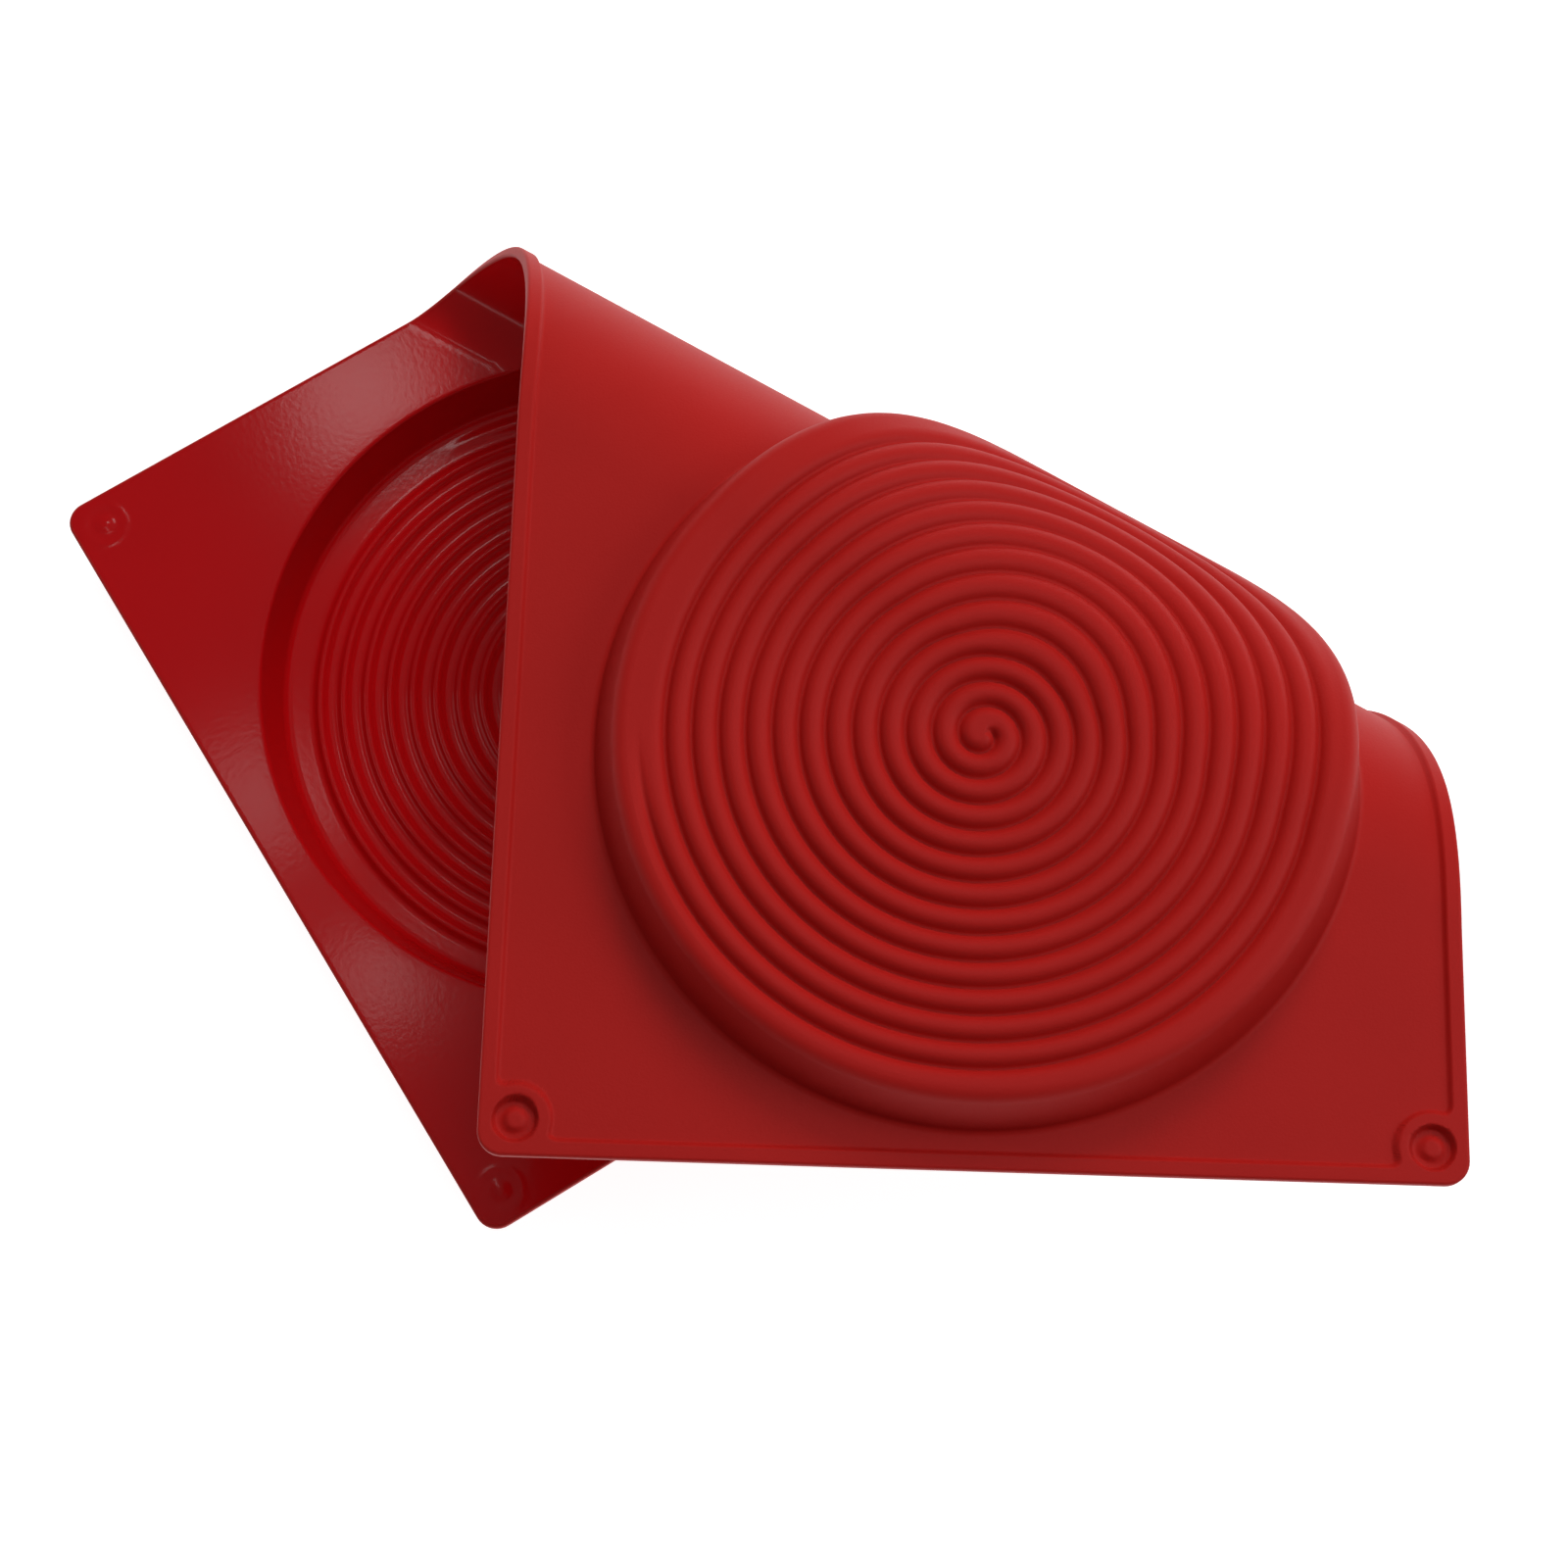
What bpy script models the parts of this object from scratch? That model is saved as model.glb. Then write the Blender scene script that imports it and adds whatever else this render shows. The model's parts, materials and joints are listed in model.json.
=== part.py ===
"""Silicone baking mould with two shallow spiral-floored cups, folded over along a slanting bend.

The mould is one sheet of rubber.  It is drawn flat first: x across the width, y along the length,
z = 0 on the food side of the sheet, rubber below.  Straight cuts then divide it into the half that
lies on the table, a run of narrow strips, and the half that is folded over, and each division hangs
from the one before it on an empty that sits on the bend line between them.  Turning every empty by
the same angle folds the sheet.  Unfolding them all to zero gives the flat mould back.
"""

import math

import bmesh
import bpy
import numpy as np
from mathutils import Matrix, Vector

# Sheet (metres)
WIDTH = 0.176
CUP_PITCH = 0.170              # centre to centre of the two cups
END_MARGIN = 0.0775            # cup centre to the short edge beyond it
SHEET = 0.0015                 # thickness of the rubber everywhere
CORNER_RADIUS = 0.0045
BAND_WIDTH = 0.0033            # thickened band round the outside
BAND_HEIGHT = 0.0009           # how far that band stands below the sheet

# Cups
CUP_RADIUS = 0.0707            # outside of the wall where it leaves the sheet
CUP_DEPTH = 0.0112             # food side of the sheet to food side of the floor
WALL_LEAN = 0.0028             # how much the wall draws in on its way down
WALL_ROUND = 0.0020            # round between wall and floor
LIP = 0.0012                   # flat lip of a cup that joins the sheet
TUCK = 0.0001                  # a cup that is joined to a strip starts this far below its top
FLOOR_RING = 0.0020            # flat ring between the wall and the spiral

# Spiral rib on the floor
RIB_PITCH = 0.00483
RIB_HEIGHT = 0.0010
RIB_PHASE = 0.586              # turn, from +x, at which the first rib leaves the centre

# Corner pads
PAD_RADIUS = 0.0067
PAD_INSET = 0.0066             # pad centre to both edges
DIMPLE_RADIUS = 0.0041
BUTTON_RADIUS = 0.0021
DIMPLE_DEPTH = 0.0010
PIMPLE_HEIGHT = 0.0004

# Fold
FOLD_TILT = math.radians(28.3)  # slant of the bend lines across the width
FOLD_START = 0.0282             # first bend line, from the middle of the sheet
FOLD_END = -0.0597              # last bend line, from the middle of the sheet
FOLD_ANGLE = math.radians(178.8)
FOLD_CRISPNESS = (1.54, 0.07, 0.0, 0.13, -0.26)  # bend density along the fold, as powers of e
HINGES = 10

GAP = 0.0003                   # clearance between neighbouring nodes
SEGMENTS = 28                  # sides of a full circle
REACH = 0.5                    # cutters reach this far past the sheet

LENGTH = CUP_PITCH + 2 * END_MARGIN
INNER_RADIUS = CUP_RADIUS - SHEET
FLOOR_RADIUS = INNER_RADIUS - WALL_LEAN - WALL_ROUND
SPIRAL_RADIUS = FLOOR_RADIUS - FLOOR_RING


def clear_scene():
    """Remove every object that the file holds."""
    for thing in list(bpy.data.objects):
        bpy.data.objects.remove(thing, do_unlink=True)


def new_collection(name):
    """A collection linked to the scene."""
    made = bpy.data.collections.new(name)
    bpy.context.scene.collection.children.link(made)
    return made


def rubber(name, shade):
    """Red silicone rubber: satin on the mould's outside, and one shade for each piece."""
    made = bpy.data.materials.new("silicone_" + name)
    made.use_nodes = True
    shader = made.node_tree.nodes["Principled BSDF"]
    shader.inputs["Base Color"].default_value = (0.30 * shade, 0.012 * shade, 0.012 * shade, 1.0)
    shader.inputs["Roughness"].default_value = 0.45
    shader.inputs["Metallic"].default_value = 0.0
    made.diffuse_color = (0.30 * shade, 0.012 * shade, 0.012 * shade, 1.0)
    return made


def mesh_of(name, bm):
    """Turn a bmesh into a mesh and free it."""
    bmesh.ops.recalc_face_normals(bm, faces=bm.faces)
    made = bpy.data.meshes.new(name)
    bm.to_mesh(made)
    bm.free()
    return made


def add_object(name, mesh, place):
    """An object for a mesh, linked to one collection."""
    made = bpy.data.objects.new(name, mesh)
    place.objects.link(made)
    return made


def boolean(thing, operation, other):
    """Cut, join or intersect one object with another."""
    change = thing.modifiers.new(operation.lower(), "BOOLEAN")
    change.operation = operation
    change.solver = "EXACT"
    change.object = other


def baked(name, thing):
    """The mesh of an object with its modifiers done, and the object removed."""
    bpy.context.view_layer.update()
    graph = bpy.context.evaluated_depsgraph_get()
    made = bpy.data.meshes.new_from_object(thing.evaluated_get(graph))
    made.name = name
    bpy.data.objects.remove(thing, do_unlink=True)
    return made


# Flat shapes -----------------------------------------------------------------

def rounded_plate(name, width, length, low, high, radius):
    """A plate between two heights with its upright edges rounded."""
    bm = bmesh.new()
    bmesh.ops.create_cube(bm, size=1.0)
    bmesh.ops.scale(bm, vec=(width, length, high - low), verts=bm.verts)
    bmesh.ops.translate(bm, vec=(0.0, 0.0, (high + low) / 2), verts=bm.verts)
    upright = [edge for edge in bm.edges if abs(edge.verts[0].co.z - edge.verts[1].co.z) > 1e-6]
    bmesh.ops.bevel(
        bm, geom=upright, offset=radius, segments=4, profile=0.5, affect="EDGES", clamp_overlap=True
    )
    return bm


def banded_sheet():
    """The whole sheet without cups: a thin web inside its thicker band, as one solid."""
    bm = rounded_plate("sheet", WIDTH, LENGTH, -SHEET - BAND_HEIGHT, 0.0, CORNER_RADIUS)
    bm.faces.ensure_lookup_table()
    under = min(bm.faces, key=lambda face: face.calc_center_median().z)
    bmesh.ops.inset_region(bm, faces=[under], thickness=BAND_WIDTH, use_even_offset=True)
    bmesh.ops.translate(bm, vec=(0.0, 0.0, BAND_HEIGHT), verts=under.verts)
    return mesh_of("banded_sheet", bm)


def box(name, low, high, place):
    """A box between two corners."""
    bm = bmesh.new()
    bmesh.ops.create_cube(bm, size=1.0)
    size = Vector(high) - Vector(low)
    bmesh.ops.scale(bm, vec=size, verts=bm.verts)
    bmesh.ops.translate(bm, vec=(Vector(high) + Vector(low)) / 2, verts=bm.verts)
    return add_object(name, mesh_of(name, bm), place)


def drum(name, radius, low, high, centre, place, sides=SEGMENTS):
    """An upright cylinder."""
    bm = bmesh.new()
    bmesh.ops.create_cone(
        bm, cap_ends=True, segments=sides, radius1=radius, radius2=radius, depth=high - low
    )
    bmesh.ops.translate(bm, vec=(centre[0], centre[1], (high + low) / 2), verts=bm.verts)
    return add_object(name, mesh_of(name, bm), place)


def food_profile():
    """Food side of a cup from its lip down to the edge of its floor, as (radius, height)."""
    foot = INNER_RADIUS - WALL_LEAN
    cut = WALL_ROUND * (1 - math.sqrt(0.5))
    return [
        (CUP_RADIUS + LIP, 0.0),
        (INNER_RADIUS, 0.0),
        (foot, -CUP_DEPTH + WALL_ROUND),
        (foot - cut, -CUP_DEPTH + cut),
        (FLOOR_RADIUS, -CUP_DEPTH),
    ]


def under_profile():
    """Underside of a cup, point for point with its food side."""
    foot = INNER_RADIUS - WALL_LEAN
    out = WALL_ROUND + SHEET
    side = out * math.sqrt(0.5)
    return [
        (CUP_RADIUS + LIP, -SHEET),
        (CUP_RADIUS, -SHEET),
        (foot + SHEET, -CUP_DEPTH + WALL_ROUND),
        (FLOOR_RADIUS + side, -CUP_DEPTH + WALL_ROUND - side),
        (FLOOR_RADIUS, -CUP_DEPTH - SHEET),
    ]


def spiral_point(column, step):
    """Where a rib line (odd column) or a valley line (even column) crosses one spoke of the floor.

    Each line gains one pitch in radius in one turn.  Past the spiral's edge, or before its centre,
    a line is drawn in to that edge or centre, and the rib fades out over its last half pitch.
    """
    turns = column / 2 - 1 - RIB_PHASE + step / SEGMENTS
    radius = turns * RIB_PITCH
    if radius < RIB_PITCH / 8:
        return 0.0, 0.0
    if radius > SPIRAL_RADIUS - RIB_PITCH / 8:
        return SPIRAL_RADIUS, 0.0
    fade = min(1.0, 2 * radius / RIB_PITCH, 2 * (SPIRAL_RADIUS - radius) / RIB_PITCH)
    return radius, RIB_HEIGHT * fade * (column % 2)


class TurnedMesh:
    """Collects faces between spokes, sharing every corner that two faces have in common."""

    def __init__(self):
        self.bm = bmesh.new()
        self.known = {}

    def corner(self, radius, height, step):
        """The vertex at a radius and height on one spoke."""
        angle = 2 * math.pi * (step % SEGMENTS) / SEGMENTS
        spot = (radius * math.cos(angle), radius * math.sin(angle), height)
        key = tuple(round(value, 7) for value in spot)
        if key not in self.known:
            self.known[key] = self.bm.verts.new(spot)
        return self.known[key]

    def patch(self, step, near, far):
        """One face between two spokes, from two points on each, left out where it has no area."""
        corners = [self.corner(*point, step) for point in near]
        corners += [self.corner(*point, step + 1) for point in reversed(far)]
        corners = list(dict.fromkeys(corners))
        if len(corners) > 2:
            self.bm.faces.new(corners)

    def turn(self, profile):
        """Turn a profile right round."""
        for step in range(SEGMENTS):
            for pair in zip(profile, profile[1:]):
                self.patch(step, pair, pair)

    def spiral(self, floor):
        """Fill the circle inside the spiral's edge with ribs and valleys."""
        columns = 2 * math.ceil(SPIRAL_RADIUS / RIB_PITCH) + 6
        for step in range(SEGMENTS):
            for column in range(columns):
                sides = []
                for spoke in (step, step + 1):
                    points = [spiral_point(column + add, spoke) for add in (0, 1)]
                    sides.append([(radius, floor + height) for radius, height in points])
                self.patch(step, sides[0], sides[1])

    def mesh(self, name, centre_y):
        """Finish the solid and carry it to its cup's centre."""
        bmesh.ops.translate(self.bm, vec=(0.0, centre_y, 0.0), verts=self.bm.verts)
        return mesh_of(name, self.bm)


def cup_wall(name, centre_y):
    """The wall of one cup, with its lip and the round at its foot."""
    turned = TurnedMesh()
    loop = food_profile() + under_profile()[::-1]
    turned.turn(loop + loop[:1])
    return turned.mesh(name, centre_y)


def cup_floor(name, centre_y):
    """The spiral floor of one cup."""
    turned = TurnedMesh()
    edge = FLOOR_RADIUS - GAP
    top = -CUP_DEPTH
    turned.turn([(SPIRAL_RADIUS, top), (edge, top), (edge, top - SHEET), (SPIRAL_RADIUS, top - SHEET)])
    turned.spiral(top)
    turned.spiral(top - SHEET)
    return turned.mesh(name, centre_y)


def whole_cup(name, centre_y):
    """Wall and floor of one cup as one solid, for the strips that bend right across a cup."""
    turned = TurnedMesh()
    top = [(SPIRAL_RADIUS, -CUP_DEPTH)] + food_profile()[:1:-1] + [(INNER_RADIUS, -TUCK)]
    low = [(SPIRAL_RADIUS, -CUP_DEPTH - SHEET)] + under_profile()[:1:-1] + [(CUP_RADIUS, -TUCK)]
    turned.turn(top + low[::-1])
    turned.spiral(-CUP_DEPTH)
    turned.spiral(-CUP_DEPTH - SHEET)
    return turned.mesh(name, centre_y)


def flat_mould(place):
    """The whole mould in one solid: banded sheet with both cups joined into their holes."""
    sheet = add_object("whole_sheet", banded_sheet(), place)
    others = []
    for side in (-1, 1):
        centre = side * CUP_PITCH / 2
        middle_of_wall = (CUP_RADIUS + INNER_RADIUS) / 2
        hole = drum("hole", middle_of_wall, -REACH, REACH, (0.0, centre), place)
        boolean(sheet, "DIFFERENCE", hole)
        others.append(hole)
    for side in (-1, 1):
        cup = add_object("cup", whole_cup("cup", side * CUP_PITCH / 2), place)
        boolean(sheet, "UNION", cup)
        others.append(cup)
    mesh = baked("flat_mould", sheet)
    for other in others:
        bpy.data.objects.remove(other, do_unlink=True)
    return mesh


def corner_tool(side, end, grow, place):
    """The plan of a corner pad: a disc round its dimple and the square out to the corner."""
    centre = Vector((side * (WIDTH / 2 - PAD_INSET), end * (LENGTH / 2 - PAD_INSET)))
    disc = drum("disc", PAD_RADIUS + grow, -REACH / 2, REACH / 2, centre, place, sides=24)
    out = Vector((side * REACH / 4, end * REACH / 4))
    in_ = Vector((-side * grow, -end * grow))
    low = [min(centre[axis] + in_[axis], centre[axis] + out[axis]) for axis in (0, 1)]
    high = [max(centre[axis] + in_[axis], centre[axis] + out[axis]) for axis in (0, 1)]
    square = box("square", (*low, -REACH / 2.1), (*high, REACH / 2.1), place)
    boolean(disc, "UNION", square)
    mesh = baked("corner_tool", disc)
    bpy.data.objects.remove(square, do_unlink=True)
    return add_object("corner_tool", mesh, place)


def corner_pad(name, side, end, place):
    """A corner pad with a dimple and its button below and a low pimple above."""
    bm = rounded_plate("pad", WIDTH, LENGTH, -SHEET - BAND_HEIGHT, 0.0, CORNER_RADIUS)
    pad = add_object(name, mesh_of("pad", bm), place)
    centre = (side * (WIDTH / 2 - PAD_INSET), end * (LENGTH / 2 - PAD_INSET))
    under = -SHEET - BAND_HEIGHT
    tool = corner_tool(side, end, 0.0, place)
    dimple = drum("dimple", DIMPLE_RADIUS, under - SHEET, under + DIMPLE_DEPTH, centre, place, sides=20)
    button = drum("button", BUTTON_RADIUS, under, under + DIMPLE_DEPTH + SHEET / 4, centre, place, sides=12)
    pimple = drum("pimple", BUTTON_RADIUS, -SHEET / 4, PIMPLE_HEIGHT, centre, place, sides=12)
    boolean(pad, "INTERSECT", tool)
    boolean(pad, "DIFFERENCE", dimple)
    boolean(pad, "UNION", button)
    boolean(pad, "UNION", pimple)
    mesh = baked(name, pad)
    for helper in (tool, dimple, button, pimple):
        bpy.data.objects.remove(helper, do_unlink=True)
    return mesh


def web(name, end, place):
    """The thin web of one half, inside its band and round its cup and pads."""
    inset = BAND_WIDTH + GAP
    round_in = max(CORNER_RADIUS - inset, GAP)
    bm = rounded_plate("web", WIDTH - 2 * inset, LENGTH - 2 * inset, -SHEET, 0.0, round_in)
    plate = add_object(name, mesh_of("web", bm), place)
    hole = drum("hole", CUP_RADIUS + LIP + GAP, -REACH, REACH, (0.0, end * CUP_PITCH / 2), place)
    spare = drum("hole", CUP_RADIUS + LIP + GAP, -REACH, REACH, (0.0, -end * CUP_PITCH / 2), place)
    tools = [hole, spare] + [corner_tool(side, end, GAP, place) for side in (-1, 1)]
    for tool in tools:
        boolean(plate, "DIFFERENCE", tool)
    mesh = baked(name, plate)
    for tool in tools:
        bpy.data.objects.remove(tool, do_unlink=True)
    return mesh


def side_band(name, side, end, place):
    """The band along one long edge, from the middle of the sheet to its pad."""
    outer = side * WIDTH / 2
    inner = side * (WIDTH / 2 - BAND_WIDTH)
    stop = end * LENGTH / 2
    start = -end * LENGTH / 2
    low = (min(outer, inner), min(start, stop), -SHEET - BAND_HEIGHT)
    high = (max(outer, inner), max(start, stop), 0.0)
    bar = box(name, low, high, place)
    tool = corner_tool(side, end, GAP, place)
    boolean(bar, "DIFFERENCE", tool)
    mesh = baked(name, bar)
    bpy.data.objects.remove(tool, do_unlink=True)
    return mesh


def end_band(name, end, place):
    """The band along one short edge, between its two pads."""
    outer = end * LENGTH / 2
    inner = end * (LENGTH / 2 - BAND_WIDTH)
    low = (-WIDTH / 2, min(outer, inner), -SHEET - BAND_HEIGHT)
    high = (WIDTH / 2, max(outer, inner), 0.0)
    bar = box(name, low, high, place)
    tools = [corner_tool(side, end, GAP, place) for side in (-1, 1)]
    for tool in tools:
        boolean(bar, "DIFFERENCE", tool)
    mesh = baked(name, bar)
    for tool in tools:
        bpy.data.objects.remove(tool, do_unlink=True)
    return mesh


# Folding ---------------------------------------------------------------------

def bend_share(position):
    """Share of the whole fold that is done at a place between the first and last bend lines."""
    places = np.linspace(0.0, 1.0, 401)
    knots = np.linspace(0.0, 1.0, len(FOLD_CRISPNESS))
    sharpness = np.exp(np.interp(places, knots, FOLD_CRISPNESS))
    done = np.concatenate([[0.0], np.cumsum((sharpness[1:] + sharpness[:-1]) / 2)])
    return float(np.interp(position, done / done[-1], places))


def hinge_places():
    """Distance of each hinge from the middle of the sheet, each taking the same part of the fold."""
    span = FOLD_START - FOLD_END
    return [FOLD_START - span * bend_share((number + 0.5) / HINGES) for number in range(HINGES)]


def frame_empty(name, place, parent=None, location=(0.0, 0.0, 0.0), rotation=(0.0, 0.0, 0.0)):
    """An empty that carries pieces."""
    made = bpy.data.objects.new(name, None)
    made.empty_display_size = 0.01
    made.parent = parent
    made.location = location
    made.rotation_euler = rotation
    place.objects.link(made)
    return made


def fold_frames(place):
    """The frame of the lower half, then one frame on each hinge, each turned by an equal angle."""
    base = frame_empty("sheet_frame", place, rotation=(0.0, 0.0, FOLD_TILT))
    frames = [base]
    places = [0.0]
    for number, where in enumerate(hinge_places(), start=1):
        step = where - places[-1]
        turn = (-FOLD_ANGLE / HINGES, 0.0, 0.0)
        frame = frame_empty(f"hinge_{number:02d}", place, frames[-1], (0.0, step, 0.0), turn)
        frames.append(frame)
        places.append(where)
    return frames, places


def strip_cutter(name, frame, offset, near, far, place):
    """A long box that keeps only what lies between two bend lines."""
    cutter = box(name, (-REACH, far - offset, -REACH / 4), (REACH, near - offset, REACH / 4), place)
    cutter.parent = frame
    cutter.hide_render = True
    cutter.display_type = "WIRE"
    return cutter


def seat(name, mesh, frame, offset, cutter, shade, place):
    """Hang a flat-drawn piece on its frame and keep only its own division of the sheet."""
    thing = add_object(name, mesh, place)
    thing.parent = frame
    thing.location = (0.0, -offset, 0.0)
    thing.rotation_euler = (0.0, 0.0, -FOLD_TILT)
    thing.data.materials.clear()
    thing.data.materials.append(rubber(name, shade))
    boolean(thing, "INTERSECT", cutter)
    return thing


def half_pieces(half, end, place):
    """Every piece of one half of the mould, still flat and whole."""
    pieces = {
        "web": web(f"{half}_web", end, place),
        "end_band": end_band(f"{half}_end_band", end, place),
        "cup_wall": cup_wall(f"{half}_cup_wall", end * CUP_PITCH / 2),
        "cup_floor": cup_floor(f"{half}_cup_floor", end * CUP_PITCH / 2),
    }
    for side, word in ((-1, "left"), (1, "right")):
        pieces[f"{word}_band"] = side_band(f"{half}_{word}_band", side, end, place)
        pieces[f"{word}_pad"] = corner_pad(f"{half}_{word}_pad", side, end, place)
    return pieces


def stand_on_origin(root, solids):
    """Move the frame so that the object's box stands centred on the origin."""
    bpy.context.view_layer.update()
    graph = bpy.context.evaluated_depsgraph_get()
    spots = []
    for solid in solids:
        shape = solid.evaluated_get(graph)
        mesh = shape.to_mesh()
        coordinates = np.empty(len(mesh.vertices) * 3)
        mesh.vertices.foreach_get("co", coordinates)
        matrix = np.array(solid.matrix_world)
        spots.append(coordinates.reshape(-1, 3) @ matrix[:3, :3].T + matrix[:3, 3])
        shape.to_mesh_clear()
    spots = np.vstack(spots)
    low, high = spots.min(axis=0), spots.max(axis=0)
    root.location = (-(low[0] + high[0]) / 2, -(low[1] + high[1]) / 2, -low[2])


def build():
    """Model the mould, divide it and fold it."""
    clear_scene()
    pieces_in = new_collection("spiral_baking_mould")
    cutters_in = new_collection("cutters")
    frames, places = fold_frames(pieces_in)
    half_gap = GAP / 2
    solids = []
    halves = (
        ("lower", 1, frames[0], places[0], REACH, places[1] + half_gap),
        ("upper", -1, frames[-1], places[-1], places[-1] - half_gap, -REACH),
    )
    for half, end, frame, offset, near, far in halves:
        cutter = strip_cutter(f"{half}_division", frame, offset, near, far, cutters_in)
        for number, (word, mesh) in enumerate(half_pieces(half, end, pieces_in).items()):
            shade = 0.8 + 0.07 * number
            solids.append(seat(f"{half}_{word}", mesh, frame, offset, cutter, shade, pieces_in))
    whole = flat_mould(pieces_in)
    for number in range(1, HINGES):
        near = places[number] - half_gap
        far = places[number + 1] + half_gap
        name = f"fold_strip_{number:02d}"
        frame = frames[number]
        cutter = strip_cutter(f"{name}_division", frame, places[number], near, far, cutters_in)
        shade = 0.9 + 0.2 * (number % 2)
        strip = seat(name, whole.copy(), frame, places[number], cutter, shade, pieces_in)
        solids.append(strip)
    stand_on_origin(frames[0], solids)


build()
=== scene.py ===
# %% [markdown]
# # A silicone baking mould, folded over on itself
#
# The mould is one soft sheet with two shallow round cups in it.  Each cup has a spiral rib pressed
# into its floor.  In this scene one half lies on the table, and the other half is folded over it,
# so both faces of the rubber show: the polished food side and the matte underside.
#
# The idea is to model the whole mould flat, where every shape is a simple formula, and to fold the
# finished surface afterwards with one more formula.

# %% Load the CAD model as a frame
import json
import math

import bpy
import numpy as np
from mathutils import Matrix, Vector

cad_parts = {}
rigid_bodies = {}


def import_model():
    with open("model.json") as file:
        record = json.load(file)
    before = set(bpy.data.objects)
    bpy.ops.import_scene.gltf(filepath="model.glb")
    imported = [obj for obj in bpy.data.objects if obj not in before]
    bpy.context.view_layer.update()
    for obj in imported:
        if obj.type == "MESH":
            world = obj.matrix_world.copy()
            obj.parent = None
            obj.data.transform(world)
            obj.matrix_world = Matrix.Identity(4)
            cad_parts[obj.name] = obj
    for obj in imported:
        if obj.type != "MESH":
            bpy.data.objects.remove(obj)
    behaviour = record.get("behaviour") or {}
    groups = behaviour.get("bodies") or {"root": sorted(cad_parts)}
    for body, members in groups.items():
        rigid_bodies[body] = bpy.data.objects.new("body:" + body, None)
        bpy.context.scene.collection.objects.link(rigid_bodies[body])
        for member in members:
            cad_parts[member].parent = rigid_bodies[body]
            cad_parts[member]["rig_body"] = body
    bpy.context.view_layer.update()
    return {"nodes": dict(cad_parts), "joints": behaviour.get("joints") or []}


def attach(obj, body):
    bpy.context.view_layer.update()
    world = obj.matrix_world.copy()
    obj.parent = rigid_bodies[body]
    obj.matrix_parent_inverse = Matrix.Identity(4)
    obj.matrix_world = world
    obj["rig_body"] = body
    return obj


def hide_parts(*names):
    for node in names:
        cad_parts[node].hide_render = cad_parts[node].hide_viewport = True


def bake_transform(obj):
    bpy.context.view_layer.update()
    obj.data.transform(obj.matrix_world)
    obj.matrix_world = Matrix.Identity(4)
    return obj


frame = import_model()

# %% [markdown]
# ## Sizes
#
# All lengths are in metres.  The flat mould uses its own axes: x across the width, y along the
# length, and z = 0 on the food side with the rubber below it.

# %% Sizes of the flat mould
WIDTH = 0.176
CUP_PITCH = 0.170
END_MARGIN = 0.0775
LENGTH = CUP_PITCH + 2 * END_MARGIN
SHEET = 0.0015
CORNER_RADIUS = 0.0045
BAND_WIDTH = 0.0033
BAND_HEIGHT = 0.0009

CUP_DEPTH = 0.0112
LIP_RADIUS = 0.0722            # outside this radius the sheet is plain
FLOOR_RADIUS = 0.0642          # inside this radius the floor carries the spiral
SPIRAL_END = 0.0624            # the rib runs out at this radius
SPIRAL_START = 0.0016
RIB_PITCH = 0.00483
RIB_HEIGHT = 0.0011
RIB_FOOT = 0.0015              # half width of a rib where it meets the floor
RIB_TOP = 0.0004               # half width of its top
RIB_TURN = 0.914               # turn at which the rib crosses the x axis
RUN_IN = 0.0006                # the rib rises over this distance at its start
RUN_OUT = 0.0004               # and sinks over this distance at its end
GROOVE_DEPTH = 0.0019          # grooves on the underside, each behind a rib
GROOVE_SHARPNESS = 2.5         # a higher value makes a narrower groove
FOOD_WALL = ((FLOOR_RADIUS, -CUP_DEPTH, 0.0), (0.06579, -CUP_DEPTH, 0.0019),
             (0.0692, 0.0, 0.0009), (LIP_RADIUS, 0.0, 0.0))
UNDER_WALL = ((FLOOR_RADIUS, -CUP_DEPTH - SHEET, 0.0), (0.06663, -CUP_DEPTH - SHEET, 0.0032),
              (0.0707, -SHEET, 0.0013), (LIP_RADIUS, -SHEET, 0.0))

PAD_RADIUS = 0.0067
PAD_INSET = 0.0066
PAD_BLEND = 0.0022             # how softly a pad runs into the band
DIMPLE_RADIUS = 0.0041
DIMPLE_DEPTH = 0.0015
BUTTON_RADIUS = 0.0021         # the button stands in the middle of the dimple
BUTTON_HEIGHT = 0.0008
PIMPLE_RADIUS = 0.0026         # on the food side, behind each dimple
PIMPLE_HEIGHT = 0.00018
RING_RADIUS = 0.0044
RING_HEIGHT = 0.00006

FOLD_TILT = math.radians(28.3)
FOLD_START = 0.0282
FOLD_END = -0.0597
FOLD_ANGLE = math.radians(178.8)
FOLD_CRISPNESS = (1.54, 0.07, 0.0, 0.13, -0.26)
CUP_FLATTENING = 0.8           # share of its depth that the lower cup loses deep in the bend
FLATTENED_AT = 0.45            # share of the turn at which it has lost all of that
ZONES = len(frame["joints"])
FINE = 1.0
print("flat mould:", round(LENGTH * 1000), "x", round(WIDTH * 1000), "mm, fold in", ZONES, "zones")

# %% [markdown]
# ## The fold
#
# Along the direction square to the fold line, the sheet turns through a growing angle.  Adding up
# the sine and cosine of that angle gives the height and the distance of each place on the bend.
# Before the bend the sheet is left alone, and after it the sheet runs on straight.

# %% Fold the flat mould
def smoothstep(low, high, value):
    """Zero up to low, one from high on, and a smooth curve 3t^2 - 2t^3 between them."""
    t = np.clip((value - low) / (high - low), 0.0, 1.0)
    return t * t * (3 - 2 * t)


def running_sum(values, step):
    """The area under a curve up to each of its samples, by the trapezium rule."""
    return np.concatenate([[0.0], np.cumsum((values[1:] + values[:-1]) / 2)]) * step


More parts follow.
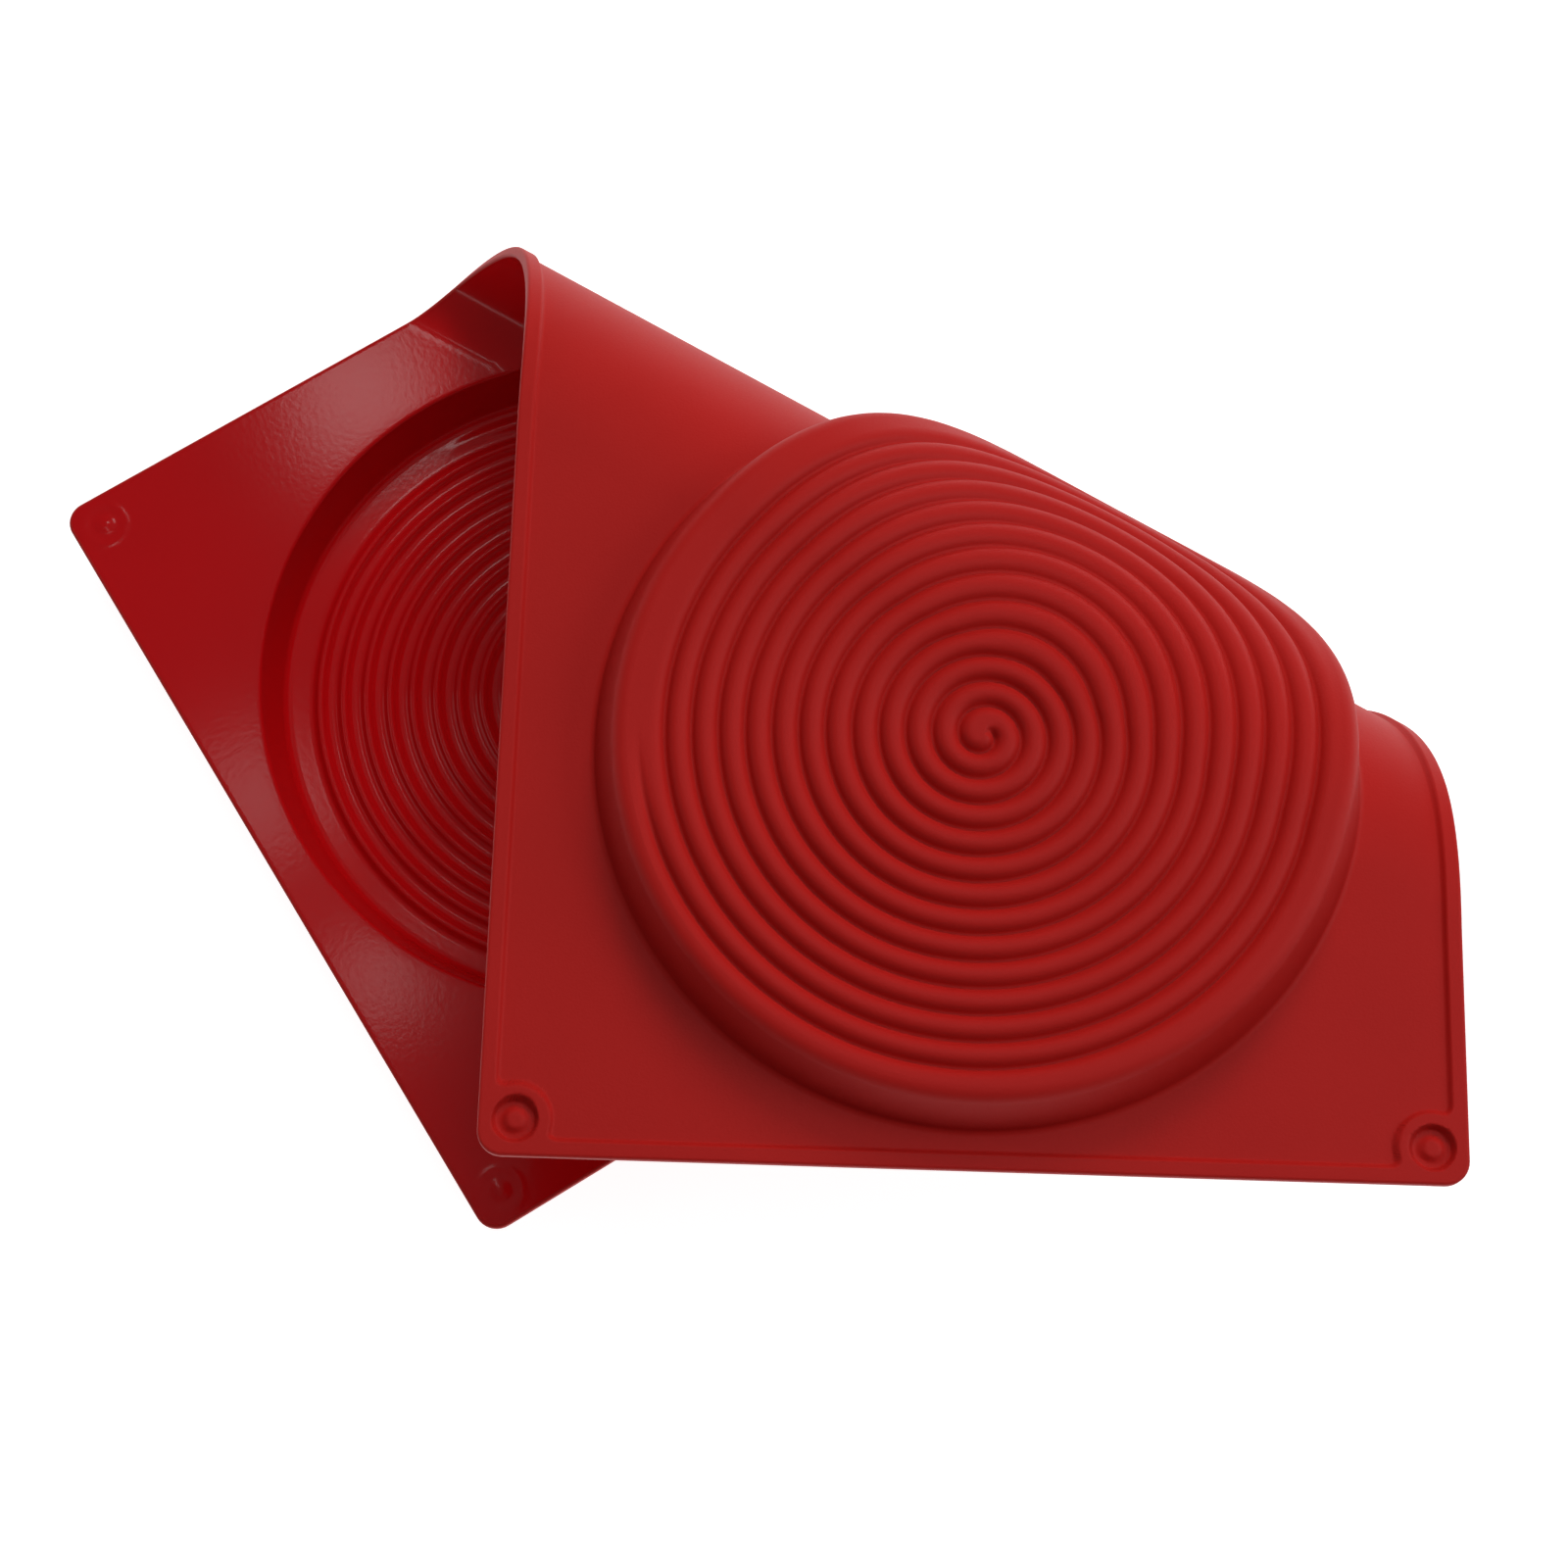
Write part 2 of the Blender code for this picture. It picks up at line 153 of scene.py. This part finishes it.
SAMPLES = 2001
SPAN = FOLD_START - FOLD_END
bend_place = np.linspace(0.0, 1.0, SAMPLES)
knots = np.linspace(0.0, 1.0, len(FOLD_CRISPNESS))
crispness = np.exp(np.interp(bend_place, knots, FOLD_CRISPNESS))
bend_share = running_sum(crispness, 1.0)
bend_share = bend_share / bend_share[-1]
bend_across = running_sum(-np.cos(FOLD_ANGLE * bend_share), SPAN / (SAMPLES - 1))
bend_rise = running_sum(np.sin(FOLD_ANGLE * bend_share), SPAN / (SAMPLES - 1))

ALONG_FOLD = np.array([math.cos(FOLD_TILT), math.sin(FOLD_TILT), 0.0])
ACROSS_FOLD = np.array([-math.sin(FOLD_TILT), math.cos(FOLD_TILT), 0.0])
UP = np.array([0.0, 0.0, 1.0])

first_hinge = FOLD_START - SPAN * np.interp(0.5 / ZONES, bend_share, bend_place)
SHEET_MIDDLE = np.array(frame["joints"][0]["pos_m"]) - first_hinge * ACROSS_FOLD


def share_of_fold(flat):
    """How much of the whole turn is done at each flat point, from 0 to 1."""
    place = (FOLD_START - flat @ ACROSS_FOLD) / SPAN
    return np.interp(place, bend_place, bend_share)


def fold(flat):
    """Carry flat points to their folded places: bend curve, plus depth along the turned normal."""
    place = (FOLD_START - flat @ ACROSS_FOLD) / SPAN
    inside = np.clip(place, 0.0, 1.0)
    turn = FOLD_ANGLE * np.interp(inside, bend_place, bend_share)
    past = np.maximum(place - 1.0, 0.0) * SPAN
    before = np.minimum(place, 0.0) * SPAN
    across = FOLD_START + np.interp(inside, bend_place, bend_across) - before
    across = across - past * np.cos(FOLD_ANGLE) + flat[:, 2] * np.sin(turn)
    rise = np.interp(inside, bend_place, bend_rise) + past * np.sin(FOLD_ANGLE)
    rise = rise + flat[:, 2] * np.cos(turn)
    along = flat @ ALONG_FOLD
    return (SHEET_MIDDLE + across[:, None] * ACROSS_FOLD + along[:, None] * ALONG_FOLD
            + rise[:, None] * UP)


print("middle of the sheet at", np.round(SHEET_MIDDLE * 1000, 1), "mm")

# %% [markdown]
# ## The outline, the raised band and the corner pads
#
# One half of the mould is drawn at a time, in coordinates that start at the middle line.  The
# outline is a rounded rectangle: a core rectangle moved outwards along its normal.

# %% Outline of one half
NEAR_CORNER = 0.0125           # this close to a corner, the points of the outline stand closer
WIDE_STEP = 0.0016
CLOSE_STEP = 0.00042
CORE = np.array([WIDTH / 2 - CORNER_RADIUS, LENGTH / 2 - CORNER_RADIUS])
WEB_INSET = 0.0042
PAD_CENTRE = np.array([WIDTH / 2 - PAD_INSET, LENGTH / 2 - PAD_INSET])


def graded(start, stop, step):
    """Evenly spaced values from start up to, but not including, stop."""
    count = max(2, round(FINE * abs(stop - start) / step))
    return np.linspace(start, stop, count, endpoint=False)


def outline():
    """Core points and outward normals, anticlockwise from the right end of the middle line."""
    bend = CORE - NEAR_CORNER
    rise = np.concatenate([graded(0.0, bend[1], WIDE_STEP), graded(bend[1], CORE[1], CLOSE_STEP)])
    end = np.concatenate([
        graded(CORE[0], bend[0], CLOSE_STEP),
        graded(bend[0], -bend[0], WIDE_STEP),
        graded(-bend[0], -CORE[0], CLOSE_STEP),
    ])
    turn = graded(0.0, math.pi / 2, math.pi / 2 / 9)
    right = [np.column_stack([np.full(len(rise), CORE[0]), rise]), np.tile([1.0, 0.0], (len(rise), 1))]
    corner = [np.tile(CORE, (len(turn), 1)), np.column_stack([np.cos(turn), np.sin(turn)])]
    top = [np.column_stack([end, np.full(len(end), CORE[1])]), np.tile([0.0, 1.0], (len(end), 1))]
    other = [corner[0] * [-1, 1], np.column_stack([-np.sin(turn), np.cos(turn)])]
    fall = np.concatenate([[CORE[1]], rise[::-1]])
    left = [np.column_stack([np.full(len(fall), -CORE[0]), fall]), np.tile([-1.0, 0.0], (len(fall), 1))]
    parts = [right, corner, top, other, left]
    return np.vstack([part[0] for part in parts]), np.vstack([part[1] for part in parts])


def inset_of(x, y):
    """Distance of points in from the rounded outline."""
    beyond = np.stack([np.abs(x), y], axis=-1) - CORE
    outside = np.hypot(np.maximum(beyond[..., 0], 0.0), np.maximum(beyond[..., 1], 0.0))
    return CORNER_RADIUS - outside - np.minimum(beyond.max(axis=-1), 0.0)


def food_height(x, y):
    """Food side of the sheet: a low pimple inside a fine raised ring over each corner pad."""
    away = np.hypot(np.abs(x) - PAD_CENTRE[0], y - PAD_CENTRE[1])
    pimple = PIMPLE_HEIGHT * smoothstep(PIMPLE_RADIUS, 0.0004, away)
    ring = RING_HEIGHT * smoothstep(0.0011, 0.0, np.abs(away - RING_RADIUS))
    return pimple + ring


def under_height(x, y):
    """Underside of the sheet: the band, the pads that blend into it, their dimples and buttons.

    Band and pad are each a distance to a border, and a soft minimum of the two is the border of
    both together.
    """
    away = np.hypot(np.abs(x) - PAD_CENTRE[0], y - PAD_CENTRE[1])
    to_band = inset_of(x, y) - BAND_WIDTH
    to_pad = away - PAD_RADIUS
    mix = np.clip(0.5 + (to_pad - to_band) / (2 * PAD_BLEND), 0.0, 1.0)
    distance = to_pad * (1 - mix) + to_band * mix - PAD_BLEND * mix * (1 - mix)
    raised = BAND_HEIGHT * smoothstep(0.00005, -0.0004, distance)
    dimple = DIMPLE_DEPTH * smoothstep(DIMPLE_RADIUS, DIMPLE_RADIUS - 0.0005, away)
    button = BUTTON_HEIGHT * smoothstep(BUTTON_RADIUS + 0.0006, BUTTON_RADIUS - 0.0009, away)
    return -SHEET - raised + dimple - button


core_line, core_normal = outline()
print("outline of one half:", len(core_line), "points")

# %% [markdown]
# ## The spiral floor and the cup wall
#
# The mesh lines of the floor follow the spiral itself: each line gains one pitch in radius per
# turn.  A line that starts as number c therefore meets line c + 9 after one turn, and every rib
# keeps the same crisp section all the way round.

# %% Profiles of the cup
RIB_KNOTS = np.array([0.0, 0.09, 0.17, 0.27, 0.42, 0.58, 0.73, 0.83, 0.91])


def rib_distance(radius, turns):
    """Distance to the nearest rib line, and how much of that rib is there (it fades at its ends)."""
    wound = radius / RIB_PITCH - RIB_TURN - turns
    line = RIB_PITCH * (np.round(wound) + RIB_TURN + turns)
    there = smoothstep(SPIRAL_END, SPIRAL_END - RUN_OUT, line)
    there = there * smoothstep(SPIRAL_START - RUN_IN, SPIRAL_START + RUN_IN, line)
    return np.abs(radius - line), there


def food_floor(radius, turns):
    """Food side of the floor: a narrow rib with a rounded top and steep sides."""
    distance, there = rib_distance(radius, turns)
    return -CUP_DEPTH + RIB_HEIGHT * there * smoothstep(RIB_FOOT, RIB_TOP, distance)


def under_floor(radius, turns):
    """Underside of the floor: a groove behind each rib, deepest on the rib line, by a power curve."""
    distance, there = rib_distance(radius, turns)
    reach = np.clip(1 - 2 * distance / RIB_PITCH, 0.0, 1.0)
    return -CUP_DEPTH - SHEET + GROOVE_DEPTH * there * reach ** GROOVE_SHARPNESS


def rounded_profile(corners):
    """Points along a broken line whose corners are rounded, each given as (radius, height, round)."""
    points = [np.array(corners[0][:2])]
    for before, here, after in zip(corners, corners[1:], corners[2:]):
        spot = np.array(here[:2])
        back = np.array(before[:2]) - spot
        ahead = np.array(after[:2]) - spot
        back = back / np.linalg.norm(back)
        ahead = ahead / np.linalg.norm(ahead)
        half = math.acos(np.clip(back @ ahead, -1.0, 1.0)) / 2
        centre = spot + (back + ahead) / np.linalg.norm(back + ahead) * here[2] / math.sin(half)
        start = spot + back * here[2] / math.tan(half) - centre
        sweep = math.pi - 2 * half
        side = math.copysign(1.0, back[0] * ahead[1] - back[1] * ahead[0])
        for angle in np.linspace(0.0, -side * sweep, 8 if FINE == 1 else 5):
            c, s = math.cos(angle), math.sin(angle)
            points.append(centre + np.array([start[0] * c - start[1] * s, start[0] * s + start[1] * c]))
    points.append(np.array(corners[-1][:2]))
    return np.array(points)


food_wall = rounded_profile(FOOD_WALL)
under_wall = rounded_profile(UNDER_WALL)
print("cup wall:", len(food_wall), "rings inside,", len(under_wall), "outside")

# %% [markdown]
# ## One half of the mould as blocks of mesh
#
# Each block is a grid of points.  The cup and the flat web round it share the same spokes, which
# run from the middle of the cup to a loop just inside the edge.  The web and the rolled edge share
# that loop.  So the border points of the blocks are equal and can be welded.

# %% Spokes of one half
MIDDLE_SPOKES = 150            # spokes that end on the middle line of the mould


def spokes():
    """The loop just inside the edge, closed along the middle line, and its angle round the cup."""
    loop = core_line + (CORNER_RADIUS - WEB_INSET) * core_normal
    count = round(FINE * MIDDLE_SPOKES)
    middle = np.linspace(loop[-1, 0], loop[0, 0], count + 1)[1:]
    middle = np.column_stack([middle, np.zeros(count)])
    loop = np.vstack([loop, middle])
    from_cup = loop - [0.0, CUP_PITCH / 2]
    angle = np.unwrap(np.arctan2(from_cup[:, 1], from_cup[:, 0]))
    angle[-1] = angle[0] + 2 * math.pi
    return loop, angle


loop, angle = spokes()
print("spokes:", len(angle))

# %% [markdown]
# A round grid would cut across the spiral and leave its ribs ragged.  Here the lines of the floor
# wind with the spiral, and they are pinned together at the middle and at the rim of the floor.

# %% Grid of a cup
def cup_grid(angle, half_turn, floor, wall):
    """Radius grows by one rib pitch per turn along each line; the rings of the wall follow."""
    turns = angle / (2 * math.pi) + half_turn
    lines = np.arange(-3, int(SPIRAL_END / RIB_PITCH) + 5)[:, None] + RIB_KNOTS
    radius = RIB_PITCH * (lines.reshape(-1, 1) + RIB_TURN + turns)
    small = RIB_PITCH / 30
    radius = np.where(radius < small, 0.0, radius)
    radius = np.where(radius > FLOOR_RADIUS - small, FLOOR_RADIUS, radius)
    height = floor(radius, np.broadcast_to(turns, radius.shape))
    height = np.where(radius == 0.0, floor(np.array(0.0), np.array(0.0)), height)
    height = np.where(radius == FLOOR_RADIUS, wall[0, 1], height)
    rings = np.broadcast_to(wall[1:, :1], (len(wall) - 1, len(angle)))
    radius = np.vstack([radius, rings])
    height = np.vstack([height, np.broadcast_to(wall[1:, 1:], rings.shape)])
    across = radius * np.cos(angle)
    along = radius * np.sin(angle) + CUP_PITCH / 2
    return np.stack([across, along, height], axis=-1)


print("cup grid:", cup_grid(angle, 0.0, food_floor, food_wall).shape[:2], "lines and spokes")

# %% [markdown]
# The web is flat but for its corner pads, so its rows stand closer on the outer part of each spoke.
# The edge is a strip carried along the outline, and its two small rounds meet at the tip.

# %% Grids of the web and the edge
WIDE_PART = 0.56               # this share of each spoke has the wide rows
WIDE_ROWS = 12
CLOSE_ROWS = 42
EDGE_ROUND = 0.0006
FOOD_INSETS = (WEB_INSET, 0.0034, 0.0026, 0.0018, 0.0011)
UNDER_INSETS = (0.0011, 0.0017, 0.0022, 0.0025, 0.0028, 0.0031, 0.0034, 0.0038, WEB_INSET)


def web_grid(loop, angle, height):
    """Straight steps along each spoke, from the lip of the cup to the loop inside the edge."""
    ring = LIP_RADIUS * np.column_stack([np.cos(angle), np.sin(angle)]) + [0.0, CUP_PITCH / 2]
    inner = np.linspace(0.0, WIDE_PART, round(WIDE_ROWS * FINE), endpoint=False)
    steps = np.concatenate([inner, np.linspace(WIDE_PART, 1.0, round(CLOSE_ROWS * FINE))])
    spots = ring + (loop - ring) * steps[:, None, None]
    spots[-1] = loop
    return np.concatenate([spots, height(spots[..., 0], spots[..., 1])[..., None]], axis=-1)


def edge_grid():
    """Rows at given insets from the outline: food side, two quarter rounds, then underside."""
    full = SHEET + BAND_HEIGHT
    arc = np.linspace(0.0, math.pi / 2, 6)
    rows = [(inset, food_height) for inset in FOOD_INSETS]
    rows += [(EDGE_ROUND * (1 - math.sin(a)), EDGE_ROUND * (math.cos(a) - 1)) for a in arc]
    rows += [(EDGE_ROUND * (1 - math.cos(a)), EDGE_ROUND * (1 - math.sin(a)) - full) for a in arc]
    rows += [(inset, under_height) for inset in UNDER_INSETS]
    grid = []
    for inset, level in rows:
        spot = core_line + (CORNER_RADIUS - inset) * core_normal
        height = level(spot[:, 0], spot[:, 1]) if callable(level) else np.full(len(spot), level)
        grid.append(np.column_stack([spot, height]))
    return np.array(grid)


edge = edge_grid()
print("web grid:", web_grid(loop, angle, food_height).shape[:2], "edge grid:", edge.shape[:2])

# %% [markdown]
# The whole mould is one half and the same half turned round by half a turn.  Each face remembers
# its finish: 0 for the polished food side and 1 for the matte underside and edge.

# %% Both halves
def quads(grid, flip, start):
    """Corner numbers of the faces of a grid whose points are numbered from start."""
    rows, columns = grid.shape[:2]
    number = np.arange(rows * columns).reshape(rows, columns) + start
    corners = np.stack([number[:-1, :-1], number[1:, :-1], number[1:, 1:], number[:-1, 1:]], axis=-1)
    corners = corners.reshape(-1, 4)
    return corners[:, ::-1] if flip else corners


points, faces, matte = [], [], []
count = 0
for end in (1, -1):
    half_turn = 0.0 if end == 1 else 0.5
    blocks = [
        (cup_grid(angle, half_turn, food_floor, food_wall), 0),
        (cup_grid(angle, half_turn, under_floor, under_wall), 1),
        (web_grid(loop, angle, food_height), 0),
        (web_grid(loop, angle, under_height), 1),
        (edge, 2),
    ]
    for grid, kind in blocks:
        corners = quads(grid, kind == 1, count)
        side = np.full(len(corners), kind)
        if kind == 2:
            row = np.arange(len(corners)) // (grid.shape[1] - 1)
            side = (row >= len(FOOD_INSETS)).astype(int)
        spots = grid.reshape(-1, 3).copy()
        spots[:, :2] *= end
        points.append(spots)
        faces.append(corners)
        matte.append(side)
        count += len(spots)
points, faces, matte = np.vstack(points), np.vstack(faces), np.concatenate(matte)
print("before welding:", len(points), "points,", len(faces), "faces")

# %% [markdown]
# ## The soft cup in the bend
#
# The bend runs across a part of the lower cup.  Rubber that is bent there pulls the cup flat, so
# the cup loses depth as the bend goes on.  The sheet and its band keep their place.

# %% Soften the lower cup where the bend crosses it
in_bend = smoothstep(0.0, FLATTENED_AT, share_of_fold(points)) * (points[:, 1] > 0.0)
below = np.minimum(points[:, 2] + 2 * SHEET, 0.0)
depth_lost = -CUP_FLATTENING * in_bend * below
points[:, 2] += depth_lost
print("lower cup: up to", round(depth_lost.max() * 1000, 1), "mm shallower in the bend")

# %% [markdown]
# ## Weld, fold and shade
#
# Points that sit in the same place become one, faces that have shrunk to a line are dropped, and
# the rest are folded.  Each point's normal is the sum of its faces' normals.

# %% Weld equal points
key = np.round(points / 1e-7).astype(np.int64)
_, first, owner = np.unique(key, axis=0, return_index=True, return_inverse=True)
flat = points[first]
faces = owner.reshape(-1)[faces]
triangles = np.vstack([faces[:, [0, 1, 2]], faces[:, [0, 2, 3]]])
matte = np.concatenate([matte, matte])
real = (triangles[:, 0] != triangles[:, 1]) & (triangles[:, 1] != triangles[:, 2])
real &= triangles[:, 0] != triangles[:, 2]
triangles, matte = triangles[real], matte[real]

# %% Fold, then measure the normals
place = fold(flat)
share = share_of_fold(flat)
a, b, c = (place[triangles[:, corner]] for corner in range(3))
face_normal = np.cross(b - a, c - a)
normal = np.zeros_like(place)
for axis in range(3):
    for corner in range(3):
        normal[:, axis] += np.bincount(triangles[:, corner], face_normal[:, axis], len(place))
normal /= np.maximum(np.linalg.norm(normal, axis=1, keepdims=True), 1e-20)
print("after welding:", len(flat), "points,", len(triangles), "triangles")

# %% [markdown]
# ## Materials
#
# Both faces are the same red silicone rubber, which takes on the finish of the steel it is pressed
# in.  The food side was against polished steel, so it reflects lights as soft patches.  The
# underside was against fine blasted steel, so it scatters light and its edges look a little pale.
# The grain is drawn coarser than it is, about a millimetre on the food side and half that below,
# since the real one is too fine to show.  The patterns read each point's place on the flat mould,
# so they don't stretch in the bend.

# %% Small helpers for node materials
def linear(code):
    """A colour written as sRGB hex, turned into linear light."""
    values = [int(code[index:index + 2], 16) / 255 for index in (0, 2, 4)]
    return (*[v / 12.92 if v <= 0.04045 else ((v + 0.055) / 1.055) ** 2.4 for v in values], 1.0)


def add_node(material, kind, links=None, **values):
    """Add one node, set its inputs or properties, and link other nodes' outputs into it."""
    node = material.node_tree.nodes.new(kind)
    for name, value in values.items():
        if hasattr(node, name):
            setattr(node, name, value)
    for name, value in values.items():
        if not hasattr(node, name):
            node.inputs[name.replace("_", " ")].default_value = value
    for name, socket in (links or {}).items():
        material.node_tree.links.new(socket, node.inputs[name])
    return node


DRIFT_SIZE = 0.036             # patches of slightly different shade


def silicone(name, dark, light, rough_low, rough_high, grain, bump, specular):
    """Red silicone: a slow drift of shade, a fine grain in roughness, and a fine bump."""
    material = bpy.data.materials.new(name)
    material.use_nodes = True
    shader = material.node_tree.nodes["Principled BSDF"]
    where = add_node(material, "ShaderNodeAttribute", attribute_name="flat_place").outputs["Vector"]
    drift = add_node(material, "ShaderNodeTexNoise", {"Vector": where}, Scale=1 / DRIFT_SIZE, Detail=2.0)
    shade = add_node(material, "ShaderNodeMix", {"Factor": drift.outputs["Fac"]}, data_type="RGBA")
    shade.inputs[6].default_value = linear(dark)
    shade.inputs[7].default_value = linear(light)
    fine = add_node(material, "ShaderNodeTexNoise", {"Vector": where}, Scale=1 / grain, Detail=3.0)
    rough = add_node(material, "ShaderNodeMapRange", {"Value": fine.outputs["Fac"]},
                     To_Min=rough_low, To_Max=rough_high)
    relief = add_node(material, "ShaderNodeBump", {"Height": fine.outputs["Fac"]},
                      Strength=1.0, Distance=bump)
    links = material.node_tree.links
    links.new(shade.outputs[2], shader.inputs["Base Color"])
    links.new(rough.outputs["Result"], shader.inputs["Roughness"])
    links.new(relief.outputs["Normal"], shader.inputs["Normal"])
    shader.inputs["Specular IOR Level"].default_value = specular
    return material


food_face = silicone("silicone_polished_food_side", "BC0B10", "C80D13", 0.08, 0.12, 0.0011, 0.00001, 0.35)
under_face = silicone("silicone_matte_underside", "B11A16", "BD1E1A", 0.50, 0.62, 0.00045, 0.00004, 0.2)
print("materials:", food_face.name, "and", under_face.name)

# %% [markdown]
# ## Divide the surface into pieces
#
# The two halves ride on their own bodies.  The bend is divided into one zone for each hinge, and
# each zone is a piece of its own.  For a zone's points a weight is worked out from their share of
# the turn: 0 on a border with a lower zone, and 1 on a border with a higher one.

# %% Make the pieces
def add_piece(name, chosen):
    """A mesh object from some of the triangles, with the whole surface's normals."""
    used, corners = np.unique(triangles[chosen], return_inverse=True)
    corners = corners.reshape(-1, 3)
    mesh = bpy.data.meshes.new(name)
    mesh.vertices.add(len(used))
    mesh.vertices.foreach_set("co", place[used].ravel())
    mesh.loops.add(corners.size)
    mesh.loops.foreach_set("vertex_index", corners.ravel())
    mesh.polygons.add(len(corners))
    mesh.polygons.foreach_set("loop_start", np.arange(0, corners.size, 3))
    mesh.polygons.foreach_set("material_index", matte[chosen])
    mesh.materials.append(food_face)
    mesh.materials.append(under_face)
    mesh.update(calc_edges=True)
    mesh.validate()
    flat_place = mesh.attributes.new("flat_place", "FLOAT_VECTOR", "POINT")
    flat_place.data.foreach_set("vector", flat[used].ravel())
    mesh.polygons.foreach_set("use_smooth", np.ones(len(mesh.polygons), dtype=bool))
    mesh.normals_split_custom_set_from_vertices(normal[used])
    piece = bpy.data.objects.new(name, mesh)
    bpy.context.scene.collection.objects.link(piece)
    return piece, used


middle_share = share[triangles].mean(axis=1)
zone = np.clip(np.ceil(middle_share * ZONES), 0, ZONES + 1).astype(int)
zone[middle_share >= 1.0] = ZONES + 1
zone[middle_share <= 0.0] = 0
bodies = [frame["joints"][0]["parent"]] + [joint["child"] for joint in frame["joints"]]
cad_of = {body: [n for n, node in frame["nodes"].items() if node["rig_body"] == body] for body in bodies}

for number, body, word in ((0, bodies[0], "lower_half"), (ZONES + 1, bodies[-1], "upper_half")):
    for side, face in ((0, "food_side"), (1, "underside")):
        piece, used = add_piece(f"{word}_{face}", (zone == number) & (matte == side))
        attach(piece, body)
        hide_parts(*cad_of[body])
        print(piece.name, len(piece.data.polygons), "triangles on", body)

zones_at_point = [np.full(len(flat), 99), np.full(len(flat), -1)]
for corner in range(3):
    np.minimum.at(zones_at_point[0], triangles[:, corner], zone)
    np.maximum.at(zones_at_point[1], triangles[:, corner], zone)
lowest, highest = zones_at_point

for number in range(1, ZONES + 1):
    piece, used = add_piece(f"bend_zone_{number:02d}", zone == number)
    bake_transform(piece)
    weight = smoothstep(0.0, 1.0, share[used] * ZONES - (number - 1))
    weight = np.where(lowest[used] < number, 0.0, weight)
    weight = np.where(highest[used] > number, 1.0, weight)
    if number < ZONES:
        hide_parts(*cad_of[bodies[number]])
print("bend zones:", ZONES)

# %% [markdown]
# ## Floor, light and camera
#
# The floor is pale and glows a little, so that it stays white beside the red rubber.  Four large
# soft lights give the shading, and three small ones stand where the polished side mirrors them
# to the camera, as the soft bright patches on it.

# %% Studio
def plain(name, code, roughness):
    """A plain material."""
    material = bpy.data.materials.new(name)
    material.use_nodes = True
    shader = material.node_tree.nodes["Principled BSDF"]
    shader.inputs["Base Color"].default_value = linear(code)
    shader.inputs["Roughness"].default_value = roughness
    return material


def soft_light(name, location, target, size, power):
    """A square area light aimed at a point."""
    data = bpy.data.lights.new(name, "AREA")
    data.size = size
    data.energy = power
    light = bpy.data.objects.new(name, data)
    light.location = location
    aim = Vector(target) - Vector(location)
    light.rotation_euler = aim.to_track_quat("-Z", "Y").to_euler()
    bpy.context.scene.collection.objects.link(light)
    return light


floor_mesh = bpy.data.meshes.new("floor")
floor_mesh.from_pydata([(-4, -4, 0), (4, -4, 0), (4, 4, 0), (-4, 4, 0)], [], [(0, 1, 2, 3)])
pale = plain("pale_floor", "B8B8B8", 0.9)
pale.node_tree.nodes["Principled BSDF"].inputs["Emission Color"].default_value = (1.0, 1.0, 1.0, 1.0)
pale.node_tree.nodes["Principled BSDF"].inputs["Emission Strength"].default_value = 0.92
floor_mesh.materials.append(pale)
floor = bpy.data.objects.new("floor", floor_mesh)
floor.location = (0.0, 0.0, -0.0002)
bpy.context.scene.collection.objects.link(floor)

scene = bpy.context.scene
scene.view_settings.view_transform = "Standard"
world = bpy.data.worlds.new("studio")
world.use_nodes = True
world.node_tree.nodes["Background"].inputs["Color"].default_value = (1.0, 1.0, 1.0, 1.0)
world.node_tree.nodes["Background"].inputs["Strength"].default_value = 0.10
scene.world = world
middle = (0.0, 0.0, 0.03)
LIGHT_DISTANCE = 1.7
for name, heading, height, size, power, in_reflections in (
    ("overhead", -60, 74, 1.3, 6.8, False),
    ("key", -45, 38, 0.6, 10.0, False),
    ("left_fill", 58, 28, 1.0, 1.0, True),
    ("right_fill", -122, 35, 1.0, 7.0, True),
):
    turn, tip = math.radians(heading), math.radians(height)
    aim = Vector((math.cos(turn) * math.cos(tip), math.sin(turn) * math.cos(tip), math.sin(tip)))
    light = soft_light(name, Vector(middle) + LIGHT_DISTANCE * aim, middle, size, power)
    light.visible_glossy = in_reflections
for name, location, target, size, power in (
    ("glint_above", (0.714, -0.105, 1.4), (0.125, 0.033, 0.013), 0.09, 0.10),
    ("glint_beside", (0.494, 0.099, 1.4), (0.058, 0.095, 0.013), 0.07, 0.035),
    ("glint_below", (0.345, 0.093, 1.4), (0.013, 0.094, 0.013), 0.05, 0.025),
):
    soft_light(name, location, target, size, power)

camera_data = bpy.data.cameras.new("camera")
camera_data.lens = 70.29
camera_data.sensor_width = 36.0
camera = bpy.data.objects.new("camera", camera_data)
camera.location = (-0.13106, 0.09360, 0.61479)
camera.rotation_euler = tuple(math.radians(v) for v in (15.184, -0.553, -121.745))
bpy.context.scene.collection.objects.link(camera)
scene.camera = camera
print("camera", [round(v, 3) for v in camera.location])
